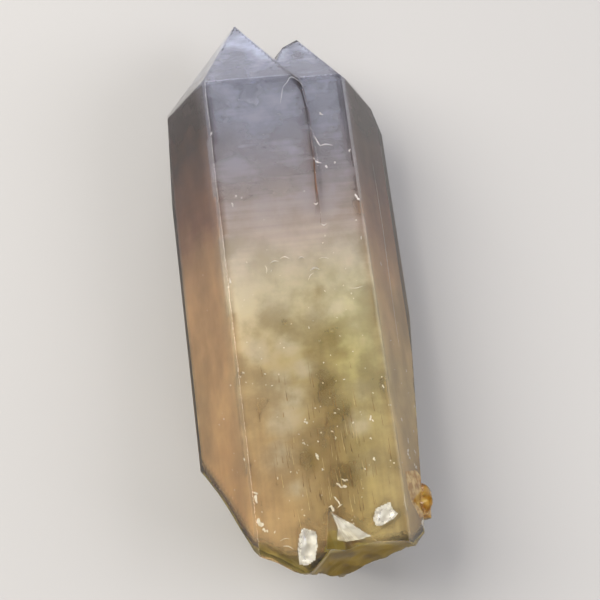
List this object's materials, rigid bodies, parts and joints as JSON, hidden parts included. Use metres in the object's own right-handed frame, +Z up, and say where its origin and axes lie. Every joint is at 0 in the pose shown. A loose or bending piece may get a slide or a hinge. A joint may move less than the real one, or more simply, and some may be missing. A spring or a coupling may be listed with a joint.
{
  "type": "quartz crystal point",
  "caption": "Natural six-sided quartz crystal with two parallel tips side by side and a broken base, clear at the tips and yellow-brown below, lying on its back face.",
  "frame": {"origin": "on the resting plane, under the middle of the crystal's outer box", "axes": "+Y along the crystal's long axis towards the tips, +Z up out of the wide front prism face, +X to the right when the tips point away"},
  "size_m": [0.0656, 0.1702, 0.043],
  "materials": {
    "smoky_citrine_quartz": "glassy natural crystal faces with a frosted, broken base"
  },
  "bodies": {
    "root": {"crystal_point": "smoky_citrine_quartz"}
  },
  "joints": []
}
